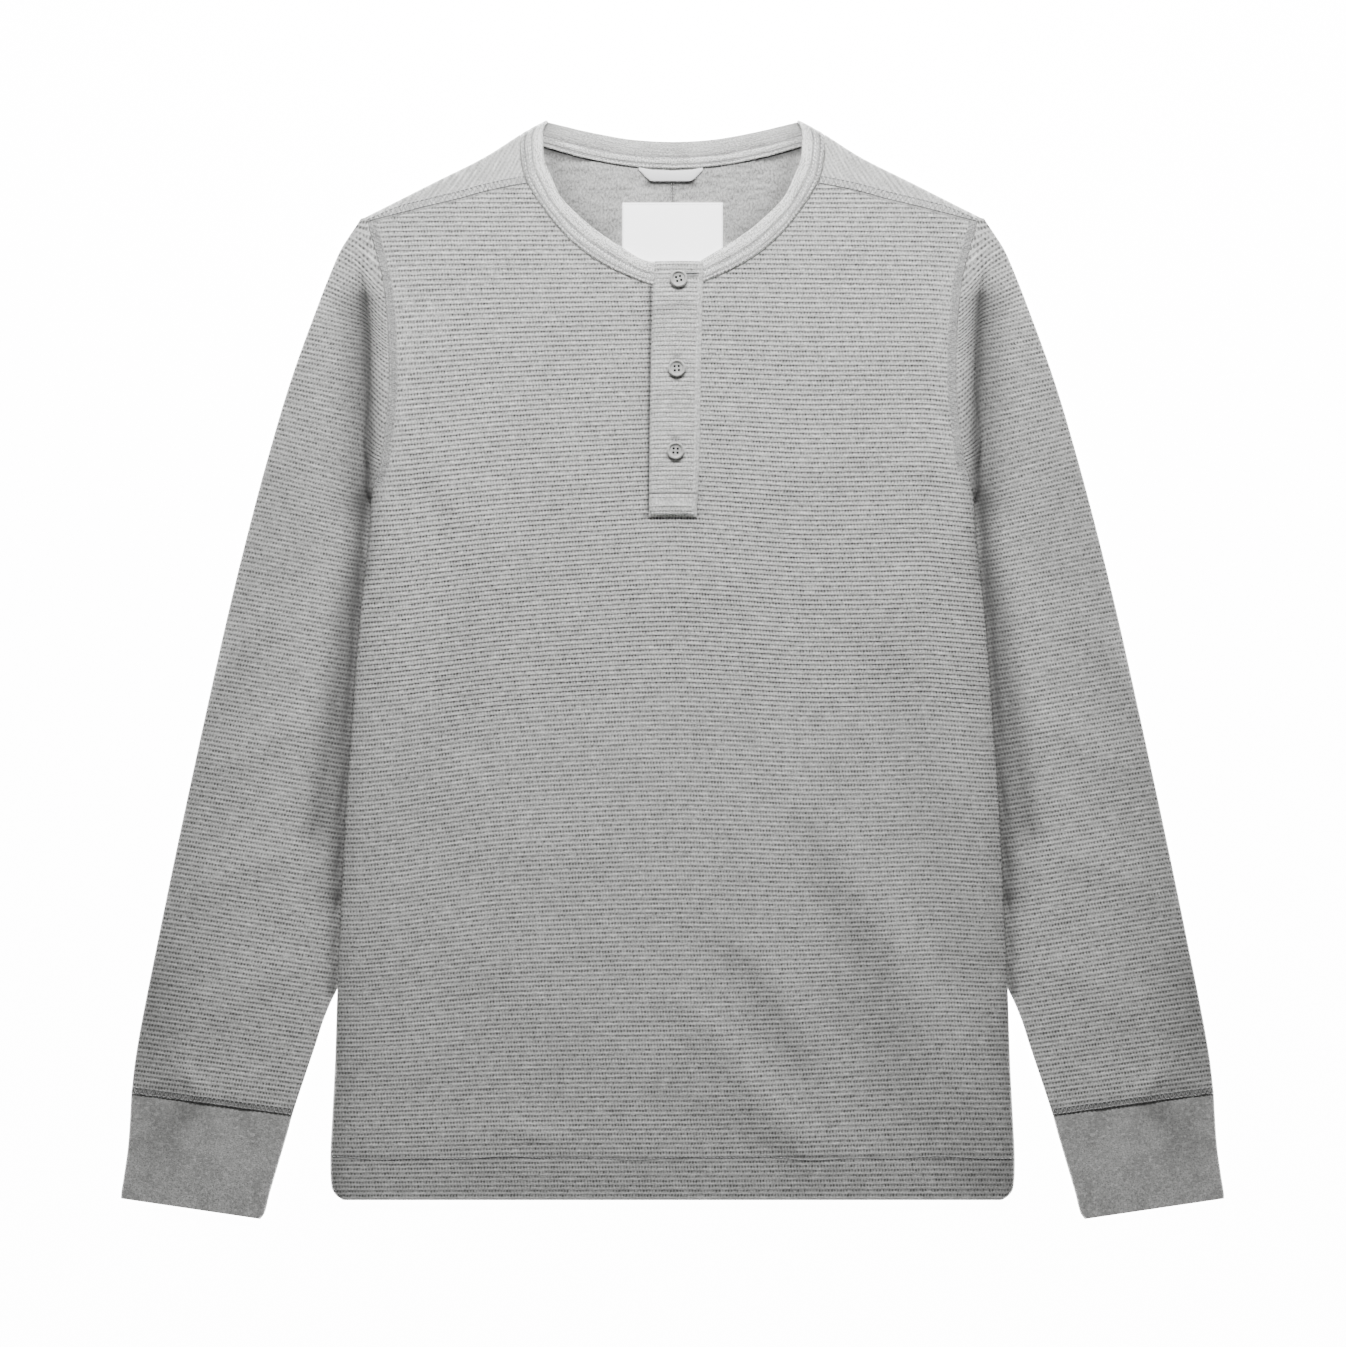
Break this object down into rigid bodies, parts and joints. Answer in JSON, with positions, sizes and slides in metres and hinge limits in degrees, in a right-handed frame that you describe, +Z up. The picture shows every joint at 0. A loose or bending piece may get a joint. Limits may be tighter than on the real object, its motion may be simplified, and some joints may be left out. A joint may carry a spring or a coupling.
{
  "type": "henley shirt",
  "caption": "Long-sleeved collarless shirt in fine-ribbed grey knit, with a buttoned half placket and plain cuffs, laid flat with its front up.",
  "frame": {"origin": "middle of the rectangle that the laid shirt covers, on the surface it lies on", "axes": "+Z up, out of the shirt's front; +Y towards the collar; +X to the right as seen from above"},
  "size_m": [0.7278, 0.7248, 0.0094],
  "materials": {
    "rib_knit": "fine cross-ribbed heather grey cotton knit",
    "jersey": "smooth heather grey jersey",
    "cuff_knit": "fine heather grey rib, matt",
    "twill": "light grey tape, matt",
    "woven": "white woven label, faint sheen",
    "button_plastic": "light grey resin, satin"
  },
  "bodies": {
    "root": {"back_panel": "rib_knit", "front_panel": "rib_knit", "sleeve_left": "rib_knit", "sleeve_right": "rib_knit", "cuff_left": "cuff_knit", "cuff_right": "cuff_knit", "neckband": "jersey", "neck_tape": "jersey", "hanger_loop": "twill", "label": "woven", "placket_under": "rib_knit", "placket_top": "rib_knit", "button_1": "button_plastic", "button_2": "button_plastic", "button_3": "button_plastic"}
  },
  "joints": []
}
